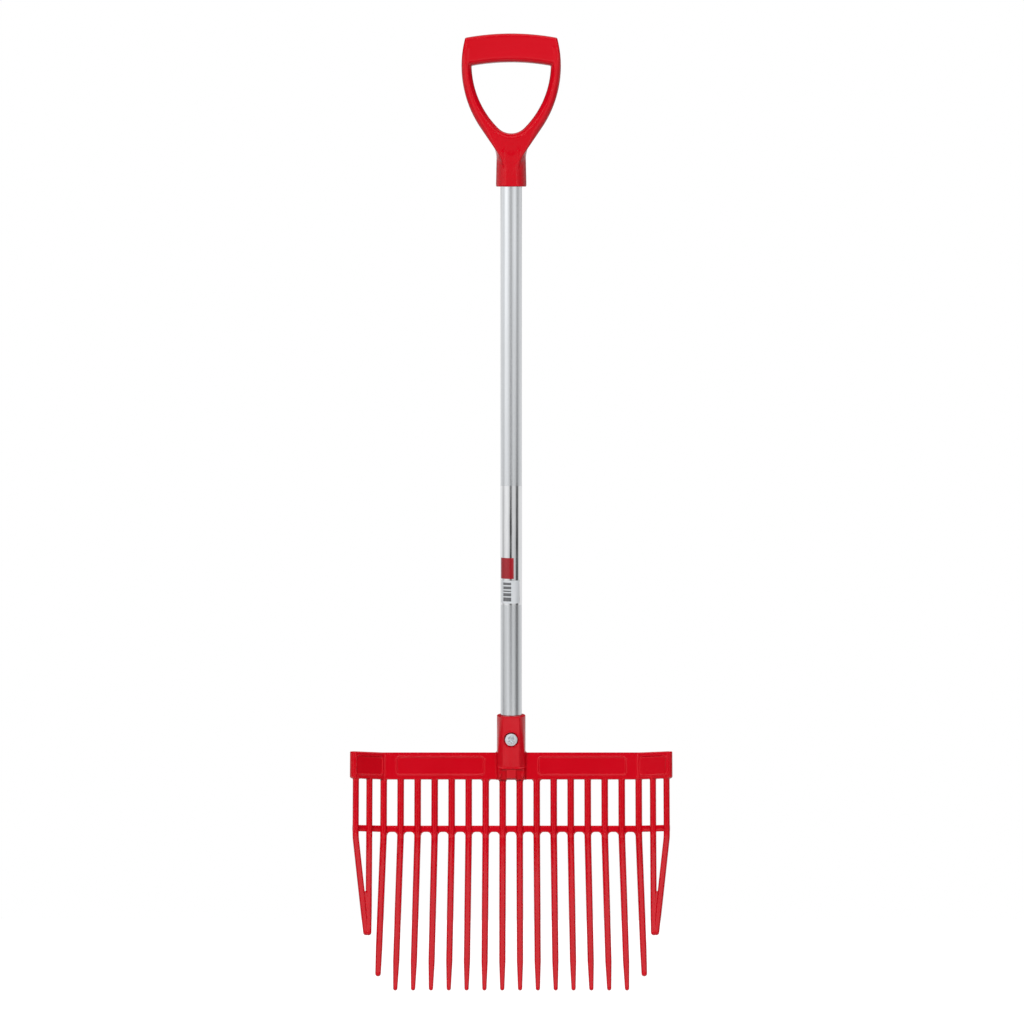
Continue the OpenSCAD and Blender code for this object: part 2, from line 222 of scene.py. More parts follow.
def zinc():
    """Bright zinc plate with a fine crystal grain."""
    mat, nodes, links, shader, coords = tree("zinc_plate")
    crystal = stretched_noise(nodes, links, coords, (700, 700, 700), 4.0)
    patch = stretched_noise(nodes, links, coords, (160, 160, 160), 2.0)
    links.new(two_tone(nodes, links, patch.outputs["Fac"], (0.74, 0.80, 0.84), (0.82, 0.87, 0.90)),
              shader.inputs["Base Color"])
    links.new(mapped(nodes, links, crystal.outputs["Fac"], 0.34, 0.48), shader.inputs["Roughness"])
    shader.inputs["Metallic"].default_value = 0.6
    bumped(nodes, links, shader, crystal.outputs["Fac"], 0.0001, 0.25)
    return mat


# Printed areas of the label: up from its lower end, and across the front
white_area = (2.0, 29.0, -11.5, 9.8)
red_area = (31.0, 55.5, -11.9, 3.0)
bar_area = (4.5, 26.5, -9.2, 0.0)


def label_film():
    """Clear film with a plain red patch, and a white patch with plain bars, near its lower end."""
    mat, nodes, links, shader, coords = tree("label_film")
    split = nodes.new("ShaderNodeSeparateXYZ")
    links.new(coords.outputs["Object"], split.inputs["Vector"])
    x, y, z = split.outputs

    def times(first, *others):
        for other in others:
            first = maths(nodes, links, "MULTIPLY", first, other)
        return first

    def within(value, low, high):
        over = maths(nodes, links, "GREATER_THAN", value, low)
        return times(over, maths(nodes, links, "LESS_THAN", value, high))

    def printed_on(low, high, left, right):
        up = within(z, (label_low[2] + low) * MM, (label_low[2] + high) * MM)
        return times(up, within(x, left * MM, right * MM), within(y, -tube_r * 2 * MM, 0.0))

    sheen = stretched_noise(nodes, links, coords, (300, 300, 40), 3.0).outputs["Fac"]
    lines = stretched_noise(nodes, links, coords, (0, 0, 620), 0.0).outputs["Fac"]
    white_patch, red_patch = printed_on(*white_area), printed_on(*red_area)
    bars = times(within(lines, 0.49, 1.0), printed_on(*bar_area))
    paper = two_tone(nodes, links, sheen, (0.68, 0.71, 0.74), (0.74, 0.77, 0.80))
    ink = two_tone(nodes, links, sheen, (0.34, 0.010, 0.016), (0.40, 0.014, 0.024))
    grey = two_tone(nodes, links, sheen, (0.13, 0.135, 0.145), (0.18, 0.185, 0.195))
    colour = two_tone(nodes, links, sheen, (0.86, 0.87, 0.89), (0.91, 0.92, 0.935))
    for mask, patch in ((white_patch, paper), (red_patch, ink), (bars, grey)):
        mix = nodes.new("ShaderNodeMix")
        mix.data_type = "RGBA"
        links.new(mask, mix.inputs[0])
        links.new(colour, mix.inputs[6])
        links.new(patch, mix.inputs[7])
        colour = mix.outputs[2]
    links.new(colour, shader.inputs["Base Color"])
    printed = maths(nodes, links, "MAXIMUM", white_patch, red_patch)
    links.new(maths(nodes, links, "SUBTRACT", 1.0, printed), shader.inputs["Metallic"])
    links.new(mapped(nodes, links, sheen, 0.06, 0.10), shader.inputs["Roughness"])
    return mat


RED, ALUMINIUM, ZINC, FILM = red_plastic(), bare_aluminium(), zinc(), label_film()


# Mesh tools

def add_piece(name, verts, faces, material, slot, *nodes, normals=None):
    """A dressed piece of the root body, in place of its CAD nodes."""
    mesh = bpy.data.meshes.new(name)
    mesh.from_pydata((np.asarray(verts) * MM).tolist(), [], [list(map(int, f)) for f in faces])
    mesh.shade_smooth()
    if normals is None:
        mesh.set_sharp_from_angle(angle=SHADE_SHARP)
    else:
        mesh.normals_split_custom_set_from_vertices(normals.tolist())
    mesh.materials.append(material)
    piece = bpy.data.objects.new(name, mesh)
    bpy.context.scene.collection.objects.link(piece)
    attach(piece, "root")
    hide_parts(*nodes)
    return piece


def join(*parts):
    """Several (verts, faces) as one."""
    verts, faces, offset = [], [], 0
    for v, f in parts:
        verts.append(np.asarray(v, float))
        faces += [[int(i) + offset for i in face] for face in f]
        offset += len(v)
    return np.concatenate(verts), faces


def loft(rings):
    """A closed skin over rings of equal count, capped at both ends."""
    rings = np.asarray(rings, float)
    count, sides = rings.shape[:2]
    i, j = np.meshgrid(np.arange(count - 1), np.arange(sides), indexing="ij")
    k = (j + 1) % sides
    this, after = i * sides, (i + 1) * sides
    faces = np.stack([this + j, this + k, after + k, after + j], -1).reshape(-1, 4).tolist()
    faces.append(list(range(sides))[::-1])
    faces.append([(count - 1) * sides + s for s in range(sides)])
    return rings.reshape(-1, 3), faces


def lathe(profile, sides=96):
    """A closed ring-shaped skin of (radius, z) points turned about the Z axis."""
    profile = np.asarray(profile, float)
    angles = np.linspace(0, 2 * pi, sides, endpoint=False)
    rings = np.stack([np.outer(np.cos(angles), profile[:, 0]), np.outer(np.sin(angles), profile[:, 0]),
                      np.tile(profile[:, 1], (sides, 1))], -1)
    n = len(profile)
    i, j = np.meshgrid(np.arange(sides), np.arange(n), indexing="ij")
    a, b = (i + 1) % sides, (j + 1) % n
    quads = np.stack([i * n + j, a * n + j, a * n + b, i * n + b], -1).reshape(-1, 4)
    return rings.reshape(-1, 3), quads.tolist()


def rounded_rect(front, back, low, high, radii, steps=5, front_lines=0):
    """A closed loop of (o, z) points, o from front to back.

    radii are those of front low, front high, back high and back low. front_lines adds
    points up the front, so that it can carry relief.
    """
    corners = [(front, low, 1, 1, pi * 1.5), (front, high, 1, -1, pi), (back, high, -1, -1, pi / 2),
               (back, low, -1, 1, 0)]
    loop = []
    for n, ((o, z, so, sz, start), r) in enumerate(zip(corners, radii)):
        for s in range(steps + 1):
            a = start - s / steps * pi / 2
            loop.append((o + so * r + r * cos(a), z + sz * r + r * sin(a)))
        if n == 0 and front_lines:
            z0, z1 = low + radii[0], high - radii[1]
            loop += [(front, z0 + (z1 - z0) * (s + 1) / (front_lines + 1)) for s in range(front_lines)]
    return np.array(loop)


def round_in(past, r):
    """How far a rounded edge of radius r draws in, at a distance past its start."""
    return r - sqrt(max(r ** 2 - min(max(past, 0), r) ** 2, 0))


def smin(a, b, k):
    """The lesser of two distances, blended where they are within k."""
    h = np.clip(0.5 + 0.5 * (b - a) / k, 0, 1)
    return b + (a - b) * h - k * h * (1 - h)


def smax(a, b, k):
    """The greater of two distances, blended where they are within k."""
    return -smin(-a, -b, k)


def round_box(p, q, r):
    """Distance to a rectangle's rounded corner, from the distances past its two sides."""
    return np.hypot(np.maximum(p + r, 0), np.maximum(q + r, 0)) + np.minimum(np.maximum(p, q) + r, 0) - r


def smooth_step(x, low, high):
    """Zero below low, one above high, and smooth between."""
    t = np.clip((x - low) / (high - low), 0, 1)
    return t * t * (3 - 2 * t)


def hexagon(p, q):
    """Half the width across flats of the hexagon through a point."""
    flats = [np.abs(p * cos(a) + q * sin(a)) for a in (0, pi / 3, 2 * pi / 3)]
    return np.maximum(np.maximum(flats[0], flats[1]), flats[2])


def surface_net(distance, low, high, step, polish=4):
    """A quad mesh of the surface where distance is zero, moved onto that surface."""
    low = np.asarray(low, float)
    count = np.ceil((np.asarray(high, float) - low) / step).astype(int) + 1
    grid = [low[a] + step * np.arange(count[a]) for a in range(3)]
    d = distance(*np.meshgrid(*grid, indexing="ij"))
    inside, cells = d < 0, count - 1
    total, hits, crossings = np.zeros((*cells, 3)), np.zeros(cells, int), []
    for a in range(3):
        b, c = (a + 1) % 3, (a + 2) % 3
        first, second = [slice(None)] * 3, [slice(None)] * 3
        first[a], second[a] = slice(0, -1), slice(1, None)
        first, second = tuple(first), tuple(second)
        where = np.argwhere(inside[first] != inside[second])
        at = tuple(where.T)
        t = d[first][at] / (d[first][at] - d[second][at])
        crossings.append((b, c, where, inside[first][at]))
        for db in (0, 1):
            for dc in (0, 1):
                cell = where.copy()
                cell[:, b] -= db
                cell[:, c] -= dc
                ok = np.all((cell >= 0) & (cell < cells), axis=1)
                local = np.zeros((ok.sum(), 3))
                local[:, a], local[:, b], local[:, c] = t[ok], db, dc
                np.add.at(total, tuple(cell[ok].T), local)
                np.add.at(hits, tuple(cell[ok].T), 1)
    used = hits > 0
    index = np.full(cells, -1)
    index[used] = np.arange(used.sum())
    verts = low + step * (np.argwhere(used) + total[used] / hits[used][:, None])
    faces = []
    for b, c, where, from_inside in crossings:
        keep = (where[:, b] > 0) & (where[:, c] > 0) & (where[:, b] < cells[b]) & (where[:, c] < cells[c])
        where, from_inside = where[keep], from_inside[keep]
        quad = []
        for db, dc in ((1, 1), (0, 1), (0, 0), (1, 0)):
            cell = where.copy()
            cell[:, b] -= db
            cell[:, c] -= dc
            quad.append(index[tuple(cell.T)])
        quad = np.stack(quad, 1)
        quad[~from_inside] = quad[~from_inside][:, ::-1]
        faces.append(quad)
    for _ in range(polish):
        slope = gradient(distance, verts, step * 0.05)
        move = np.clip(distance(*verts.T) / np.maximum((slope ** 2).sum(1), 0.2), -step / 2, step / 2)
        verts = verts - slope * move[:, None]
    return verts, np.concatenate(faces)


def gradient(distance, verts, reach):
    """Slope of a distance at points, by differences over reach."""
    steps = np.eye(3) * reach
    return np.stack([distance(*(verts + e).T) - distance(*(verts - e).T) for e in steps], 1) / (2 * reach)


def unit_normals(distance, verts, reach):
    """Unit vectors out of the surface at points."""
    slope = gradient(distance, verts, reach)
    return slope / np.maximum(np.linalg.norm(slope, axis=1), 1e-6)[:, None]


# Shaft

def make_tube():
    """The drawn tube with eased ends."""
    edge = 0.4
    outer, inner = tube_r, tube_r - tube_wall
    low, high = tube_low[2], tube_high[2]
    rows = np.linspace(low + edge, high - edge, 28)
    profile = [(outer, z) for z in rows] + [(outer - edge, high), (inner + edge, high)]
    profile += [(inner, z) for z in rows[::-1]] + [(inner + edge, low), (outer - edge, low)]
    add_piece("shaft_tube_drawn", *lathe(profile, 128), ALUMINIUM, "bare_tube", "shaft_tube")


def make_label():
    """A thin film round the tube with rounded corners."""
    outer, inner = label_high[0], tube_r + 0.05
    half_wrap, corner = radians(125), 5.0
    length = label_high[2] - label_low[2]
    rows = np.concatenate([np.linspace(0, corner, 9), np.linspace(corner, length - corner, 24)[1:-1],
                           np.linspace(-corner, 0, 9) + length])
    rings = []
    for z in rows:
        near = min(z, length - z)
        cut = corner - sqrt(max(corner ** 2 - max(corner - near, 0) ** 2, 0))
        half = half_wrap - cut / outer
        a = -pi / 2 + np.linspace(-half, half, 64)
        loop = np.concatenate([np.stack([outer * np.cos(a), outer * np.sin(a)], 1),
                               np.stack([inner * np.cos(a), inner * np.sin(a)], 1)[::-1]])
        rings.append(np.column_stack([loop, np.full(len(loop), z + label_low[2])]))
    add_piece("shaft_label_film", *loft(rings), FILM, "label", "shaft_label")


# Grip

side_r, opening_r = 125.0, 104.0
side_cx, side_cz = side_r - grip_w / 2, -5.0
flank_z = -75.5
flank_dz = side_cz - flank_z
flank_dx = sqrt(side_r ** 2 - flank_dz ** 2)
flank_x = flank_dx - side_cx
arm_w, arm_edge, arm_chamfer = 11.7, 7.0, 4.5
opening_h, opening_cz = 82.0, -2.0
opening_cx = opening_r - (grip_w / 2 - arm_w)
opening_rest = opening_r - opening_h
crook_z = (opening_rest ** 2 - opening_cx ** 2 - opening_cz ** 2) / (2 * (opening_rest - opening_cz))
crook_r = crook_z + opening_h
bar_arch_r, bar_depth, bar_edge, bar_end_edge = 257.5, 30.0, 7.0, 3.6
bar_top_edge = 4.0
grip_end_r, grip_root_r = 17.8, 16.65
grip_root_z = -95.0
neck_y, neck_edge = 16.3, 2.6
tongue_z, tongue_slope = -101.5, 0.52
neck_fillet = 4.0
grip_bore_gap, grip_bore_len, grip_hole_r = 0.15, 28.0, 2.1


def grip_distance(x, y, z):
    """The D-grip: a lens-shaped plate with an arched hand bar, chamfered arms and a tapered socket."""
    ax, ay = np.abs(x), np.abs(y)
    half_depth = bar_depth / 2 + (neck_y - bar_depth / 2) * smooth_step(-z, 30, -grip_root_z)
    edge = arm_edge + (bar_end_edge - arm_edge) * smooth_step(z, -15, 12)
    edge = edge + (neck_edge - arm_edge) * smooth_step(-z, -flank_z, -tongue_z)
    flank = ((ax - flank_x) * flank_dx - (z - flank_z) * flank_dz) / side_r
    tongue = (ax - grip_root_r - (z - tongue_z) * tongue_slope) / sqrt(1 + tongue_slope ** 2)
    outline = np.where(z < flank_z, smin(flank, tongue, 2.0), np.hypot(ax + side_cx, z - side_cz) - side_r)
    lens = round_box(outline, ay - half_depth, edge)
    arch = np.hypot(x, z + bar_arch_r) - bar_arch_r - bar_h / 2
    along_edge = bar_edge + (bar_top_edge - bar_edge) * smooth_step(arch, -5, 5)
    bar = round_box(np.abs(arch) - bar_h / 2, ay - bar_depth / 2, along_edge)
    side = np.hypot(ax + opening_cx, z - opening_cz) - opening_r
    crook = np.hypot(x, z - crook_z) - crook_r
    below = ax * (opening_cz - crook_z) < (crook_z - z) * opening_cx
    opening = np.where(below, crook, side)
    past = ay - (half_depth - arm_chamfer)
    opening = opening - 0.5 * (past + np.sqrt(past ** 2 + 2.2 ** 2))
    arms = np.maximum(-opening, z - bar_h / 2)
    body = smax(smin(bar, arms, 1.8), lens, 1.2)
    height = np.clip((z + grip_drop) / (grip_root_z + grip_drop), 0, 1)
    cone = np.hypot(x, y) - (grip_end_r + (grip_root_r - grip_end_r) * height)
    flat = ay - neck_y - 0.2 + 1.4 * smooth_step(z, grip_root_z - 14, grip_root_z - 3)
    socket = smax(smax(cone, flat, 0.4), -grip_drop - z, 1.6)
    socket = smax(socket, z - (grip_root_z + 2), 2.0)
    fillet = neck_fillet * smooth_step(-z, -grip_root_z - 3, -tongue_z + 4) * smooth_step(ax, 5, 10)
    whole = smin(body, socket, 0.9 + fillet)
    bore = np.maximum(np.hypot(x, y) - (tube_r + grip_bore_gap), z + grip_drop - grip_bore_len)
    hole = np.maximum(np.hypot(x, z - screw_z) - grip_hole_r, -y)
    return smax(smax(whole, -bore, 0.6), -hole, 0.3)


def make_grip():
    """The moulded D-grip."""
    margin = 3.0
    low = np.array([-grip_w / 2, grip_low[1], -grip_drop]) - margin
    high = np.array([grip_w / 2, grip_high[1], bar_h]) + margin
    verts, faces = surface_net(grip_distance, low, high, 0.85)
    add_piece("d_grip_moulding", verts, faces, RED, "red_plastic", "d_grip",
              normals=unit_normals(grip_distance, verts, 0.25))


# Head

def fold_path(u, round_r):
    """Place and turn of the head's folded centre line at a length from its middle."""
    lead = round_r * tan(wing_fold / 2)
    start, arc = crease_x - lead, round_r * wing_fold
    side, a = np.sign(u), np.abs(u)
    turn = np.clip((a - start) / round_r, 0, wing_fold)
    on = np.maximum(a - start - arc, 0)
    x = np.minimum(a, start) + round_r * np.sin(turn) + on * cos(wing_fold)
    y = -round_r * (1 - np.cos(turn)) - on * sin(wing_fold)
    return side * x, y, side * turn


def fold_end(round_r, wing):
    """Length along the folded line to a distance past the crease."""
    return crease_x - 2 * round_r * tan(wing_fold / 2) + round_r * wing_fold + wing


def along(u, loop, round_r):
    """A loop of (o, z) points set across the folded line at u."""
    x, y, turn = fold_path(np.array(u), round_r)
    return np.column_stack([x + loop[:, 0] * np.sin(turn), y + loop[:, 0] * np.cos(turn), loop[:, 1]])


def field_relief(u, z, centre, width, height, depth):
    """Depth of a sunk field with a slim bead round it."""
    qx, qz = np.abs(u - centre) - width / 2 + field_r, np.abs(z) - height / 2 + field_r
    d = np.hypot(np.maximum(qx, 0), np.maximum(qz, 0)) + np.minimum(np.maximum(qx, qz), 0) - field_r
    bead = field_bead * np.exp(-((d - 0.5) / 0.75) ** 2)
    return depth * smooth_step(-d, -0.45, 0.75) - bead


def make_panel():
    """The folded panel with its sunk fields, and the pad and gussets under the socket."""
    end = fold_end(crease_round, wing_len)
    lines, front_r, back_r, low_r = 60, 4.6, 1.5, 3.4
    inner = np.arange(0, end - front_r, 0.62)
    tail = end - front_r * (1 - np.sin(np.linspace(0, pi / 2, 16)))
    half = np.concatenate([inner, tail[tail > inner[-1] + 0.1]])
    stations = np.concatenate([-half[::-1], half[1:]])
    main_centre = (socket_r + crease_x) / 2
    wing_start, wing_stop = 4.0, 5.0
    wing_width = wing_len - wing_start - wing_stop
    wing_centre = fold_end(crease_round, wing_start + wing_width / 2)
    wing_height = field_h + wing_field_more
    rings = []
    for u in stations:
        a = abs(u)
        front = -panel_t / 2 + round_in(a - end + front_r, front_r)
        inset = round_in(a - end + back_r, back_r)
        low = panel_bottom + round_in(a - end + low_r, low_r)
        on_wing = float(smooth_step(a, crease_x - 2, crease_x + 5))
        lip = max(0.5 + 1.9 * on_wing - inset, 0.15)
        small = max(0.8 - inset / 2, 0.15)
        loop = rounded_rect(front, panel_t / 2 - inset, low, -panel_bottom - inset,
                            (small, lip, small, small), 5, lines)
        face = loop[:, 0] < front + 1e-6
        relief = field_relief(a, loop[:, 1], main_centre, field_w, field_h, field_depth)
        relief += field_relief(a, loop[:, 1], wing_centre, wing_width, wing_height, wing_field_depth)
        loop[face, 0] += relief[face]
        rings.append(along(u, loop, crease_round))
    verts, faces = loft(rings)
    panel = (to_row(verts), [f[::-1] for f in faces])
    pad = surface_net(pad_distance, (-17, -25, head_z - 19.6), (17, 3, head_z + 5.4), 0.55)
    add_piece("head_panel_moulding", *join(panel, pad), RED, "red_plastic", "head_panel")


# Pad and gussets under the socket
pad_half_w, pad_front, pad_over = 5.7, 15.0, 2.0
gusset_front, gusset_h = 13.6, 7.0
gusset_inner, gusset_outer = (13.6, -0.42), (14.2, 0.10)

# Socket: a boss with a drafted front, a flared and stepped lower end and rounded sides
boss_half_w, boss_draft = 9.6, 2.2
flare_w, flare_front, flare_low, flare_high = 1.4, 0.8, 0.8, 1.8
side_depth, rim_inset, head_inset = 14.0, 4.2, 0.8
back_at, back_way = (13.8, 9.3), (11.7, 4.0)
end_low, end_slope = 1.5, 0.35
foot_back, foot_slope, foot_low = 2.2, 4.4, 14.6
slab_half_w, slab_blend = 25.0, 4.0

# Bolt seat with a bead round it and a shadow gap inside it, and the nut's pocket behind
bead_r, bead_w, bead_h = 9.2, 0.6, 0.6
seat_r, seat_depth, gap_r, gap_depth = 8.5, 2.6, 7.0, 1.6
pocket_r, pocket_depth, bolt_hole_r, socket_bore_gap = 5.1, 6.0, 3.2, 0.25


def in_head(y, z):
    """Depth and height of row frame points in the leaning head's own frame."""
    h = z - head_z
    return y * cos(lean) - h * sin(lean), y * sin(lean) + h * cos(lean)


def pad_distance(x, y, z):
    """The upright pad under the socket's end and the two small gussets beside it."""
    hy, hz = in_head(y, z)
    ax = np.abs(x)
    rise = hz - panel_bottom
    pad = smax(0.6 - rise, z - head_z - pad_over, 0.5)
    pad = smax(smax(ax - pad_half_w, -pad_front - y, 0.7), pad, 0.6)
    inner, outer = (foot + slope * rise for foot, slope in (gusset_inner, gusset_outer))
    gusset = smax(smax(inner - ax, ax - outer, 0.4), smax(1.0 - rise, rise - gusset_h, 0.4), 0.5)
    gusset = smax(gusset, -gusset_front - y, 0.4)
    return np.maximum(np.minimum(pad, gusset), hy)


def socket_distance(x, y, z):
    """The socket with its boss, its foot on the panel, the tube's bore and the bolt's holes."""
    ax = np.abs(x)
    away = np.hypot(x, z - bolt_z)
    down = (rim_z - z) / (rim_z - head_z)
    flare = 1 - smooth_step(z, head_z - flare_low, head_z + flare_high)
    half_w = boss_half_w + flare_w * flare
    front = boss_front - boss_draft * np.clip(down, 0, 1.2) + flare_front * flare
    front = front + bead_h * np.exp(-((away - bead_r) / bead_w) ** 2)
    flank = (ax - half_w - y - front) / sqrt(2)
    inset = (rim_inset - (rim_inset - head_inset) * np.clip(down, 0, 1)) / side_depth ** 2
    side = (ax - socket_r + inset * np.minimum(y, 0) ** 2) / np.sqrt(1 + (2 * inset * y) ** 2)
    back_flank = ((ax - back_at[0]) * back_way[0] + (y - back_at[1]) * back_way[1]) / np.hypot(*back_way)
    boss = smax(smax(-front - y, flank, 1.2), smax(y - boss_back, back_flank, 1.4), 1.0)
    outside = smin(np.hypot(x, y) - socket_r, smax(boss, side, 1.0), 1.0)
    behind, under = y + boss_front - boss_draft, head_z - end_low - z
    end = (under - end_slope * behind) / sqrt(1 + end_slope ** 2)
    foot = (foot_back - behind + under / foot_slope) / sqrt(1 + 1 / foot_slope ** 2)
    foot = smax(foot, head_z - foot_low - z, 0.6)
    outside = smax(smax(outside, z - rim_z, 1.6), smin(end, foot, 0.6), 0.6)
    hy, hz = in_head(y, z)
    slab = round_box(np.abs(hy) - panel_t / 2 + 0.3, np.abs(hz) - panel_h / 2 + 0.4, 0.6)
    whole = smin(outside, np.maximum(slab, ax - slab_half_w), slab_blend)
    bore = np.maximum(np.hypot(x, y) - (tube_r + socket_bore_gap), tube_low[2] - z)
    gap = gap_depth * smooth_step(away, gap_r, gap_r + 0.6)
    seat = np.maximum(away - seat_r, y + boss_front - seat_depth - gap)
    pocket = np.maximum(hexagon(x, z - bolt_z) - pocket_r, boss_back - pocket_depth - y)
    cut = np.minimum(np.minimum(seat, pocket), np.minimum(away - bolt_hole_r, bore))
    return smax(whole, -cut, 0.7)


def make_socket():
    """The moulded socket of the head."""
    low = (-27, -21, head_z - panel_h / 2 - 6)
    high = (27, 24, rim_z + 2.5)
    verts, faces = surface_net(socket_distance, low, high, 0.7)
    add_piece("head_socket_moulding", verts, faces, RED, "red_plastic", "head_socket",
              normals=unit_normals(socket_distance, verts, 0.2))


def make_crossbar():
    """The bar behind the tines, with an arch under each gap."""
    end = fold_end(crease_round, 2 * tine_pitch)
    half_o, edge = crossbar_depth / 2, 1.1
    foot = tine_d / 2 + arch_land
    stations = np.arange(-end, end + 0.01, end / 260)
    rings = []
    for u in stations:
        away = abs((u + tine_pitch / 2) % tine_pitch - tine_pitch / 2)
        away = tine_pitch / 2 - away if abs(u) < crease_x else tine_pitch
        rise = min(max(foot + arch_r - away, 0), arch_r)
        low = crossbar_bottom - arch_r + sqrt(max(arch_r ** 2 - rise ** 2, 0))
        loop = rounded_rect(-half_o, half_o, low, crossbar_top, (edge, edge, edge, edge), 4)
        loop[:, 0] += crossbar_set + half_o
        rings.append(along(u, loop, crease_round))
    verts, faces = loft(rings)
    add_piece("head_crossbar_moulding", to_row(verts), [f[::-1] for f in faces],
              RED, "red_plastic", "head_crossbar")


def tine_skin(top, turn, angle, reach, d, point, tip, root):
    """A bent and tapered rod with a filleted root and a rounded tip, in the head's own frame."""
    sides = 28
    corner = bend_r * tan(angle / 2)
    stem_end = corner_z + corner
    stations = []
    fillet = panel_bottom - root * (1 - np.cos(np.linspace(0, pi / 2, 7)))
    for z in np.concatenate([[panel_bottom + 2.5], fillet]):
        off = min(max(panel_bottom - z, 0), root)
        flare = root - sqrt(max(root ** 2 - (root - off) ** 2, 0))
        stations.append(((0, 0, z), 0.0, d / 2 + flare, min(d / 2 + flare, panel_t / 2 - 0.05)))
    for z in np.linspace(panel_bottom - root, stem_end, 14)[1:]:
        stations.append(((0, 0, z), 0.0, d / 2, d / 2))
    for a in np.linspace(0, angle, 14)[1:]:
        stations.append(((0, -bend_r + bend_r * cos(a), stem_end - bend_r * sin(a)), a, d / 2, d / 2))
    y0, z0 = -bend_r + bend_r * cos(angle), stem_end - bend_r * sin(angle)
    length = reach - corner
    body, tip_at = length - point_len, length - tip / 2
    for s in np.concatenate([np.linspace(0, body, 30)[1:], np.linspace(body, tip_at, 14)[1:]]):
        if s <= body:
            r = d / 2 + (point - d) / 2 * s / body
        else:
            r = point / 2 + (tip - point) / 2 * (s - body) / (tip_at - body)
        stations.append(((0, y0 - s * sin(angle), z0 - s * cos(angle)), angle, r, r))
    for a in np.linspace(0, pi / 2, 8)[1:]:
        s, r = tip_at + tip / 2 * sin(a), max(tip / 2 * cos(a), 0.05)
        stations.append(((0, y0 - s * sin(angle), z0 - s * cos(angle)), angle, r, r))
    ring = np.linspace(0, 2 * pi, sides, endpoint=False)
    rings = []
    for (x, y, z), a, rx, ry in stations:
        across, fore = rx * np.cos(ring), ry * np.sin(ring)
        rings.append(np.column_stack([x + across, y + fore * cos(a), z - fore * sin(a)]))
    verts, faces = loft(rings)
    c, s = cos(turn), sin(turn)
    x, y, z = verts.T
    return np.column_stack([x * c + y * s, -x * s + y * c, z]) + np.asarray(top), [f[::-1] for f in faces]


def wing_web(inner_at, inner_dir, outer_at, outer_dir, inner_reach, outer_reach):
    """The thin web that closes the angle between a wing's two tines, in the head's own frame."""
    across = np.array([1.0, 0, 0])
    deep = np.cross(across, inner_dir)
    ring = np.linspace(0, 2 * pi, 16, endpoint=False)
    rings = []
    for t in np.linspace(wing_tip_d / 2, web_len, 16):
        a = inner_at + inner_dir * (inner_reach - t)
        b = outer_at + outer_dir * (outer_reach - t)
        half = max(web_half * sqrt(1 - (t / (web_len + 0.1)) ** 3), 0.1)
        width = np.linalg.norm(b - a) / 2
        oval = np.outer(np.cos(ring) * width, across) + np.outer(np.sin(ring) * half, deep)
        rings.append((a + b) / 2 + oval)
    return loft(rings)


def make_tines():
    """Sixteen tines on the panel, the two at its creases shorter, and a webbed pair on each wing."""
    step = tine_pitch * np.array([cos(wing_fold), -sin(wing_fold), 0])
    inner_top = np.array([crease_x, 0, 0]) + step
    outer_top = inner_top + wing_outer_step * step
    down = np.array([0, 0, corner_z])
    inner_dir = np.array([-sin(wing_turn) * sin(bend), -cos(wing_turn) * sin(bend), -cos(bend)])
    run = inner_top + wing_reach * inner_dir + np.array([wing_tip_gap, 0, 0]) - outer_top
    outer_reach = np.linalg.norm(run)
    outer_dir = run / outer_reach
    wing_point = wing_tine_d - 0.2
    outer = (outer_top, atan2(-outer_dir[0], -outer_dir[1]), acos(-outer_dir[2]), outer_reach,
             wing_tine_d, wing_point, wing_tip_d, wing_root_r)
    inner = (inner_top, wing_turn, bend, wing_reach, wing_tine_d, wing_point, wing_tip_d, wing_root_r)
    web = wing_web(inner_top + down, inner_dir, outer_top + down, outer_dir, wing_reach, outer_reach)
    for i in range(1, 21):
        if i in (1, 20):
            verts, faces = tine_skin(*outer)
        elif i in (2, 19):
            verts, faces = join(tine_skin(*inner), web)
        else:
            x = (i - 10.5) * tine_pitch
            root = middle_root_r if i in (9, 10, 11, 12) else root_r
            reach = crease_reach if i in (3, 18) else tine_reach
            point, tip = (tine_d, crease_tip_d) if i in (3, 18) else (point_d, tip_d)
            verts, faces = tine_skin((x, 0, 0), 0.0, bend, reach, rod_d, point, tip, root)
        if i in (1, 2):
            verts, faces = verts * (-1, 1, 1), [f[::-1] for f in faces]
        name = "tine_%02d" % i
        add_piece(name + "_moulding", to_row(verts), faces, RED, "red_plastic", name)


# Fasteners

def domed_distance(d, h, rim, shank_r, shank_len, cross_span, slot_w, slot_depth, turn):
    """A domed head that stands on z = 0 with its shank below, and a cross recess in its top."""
    rise = h - rim
    dome_r = ((d / 2) ** 2 + rise ** 2) / (2 * rise)

    def distance(x, y, z):
        out = np.hypot(x, y)
        dome = smax(np.sqrt(x ** 2 + y ** 2 + (z - h + dome_r) ** 2) - dome_r, out - d / 2, 0.5)
        dome = smax(dome, -z, 0.25)
        shank = smax(out - shank_r, np.maximum(z - 0.5, -shank_len - z), 0.3)
        p, q = x * cos(turn) + y * sin(turn), -x * sin(turn) + y * cos(turn)
        p, q = np.abs(p), np.abs(q)
        taper = 0.35 * np.maximum(h - z, 0)
        floor = h - slot_depth - z
        cross = np.minimum(np.maximum(p - cross_span / 2 + taper, q - slot_w / 2 + 0.15 * taper),
                           np.maximum(q - cross_span / 2 + taper, p - slot_w / 2 + 0.15 * taper))
        return smax(np.minimum(dome, shank), -np.maximum(cross, floor), 0.25)

    return distance


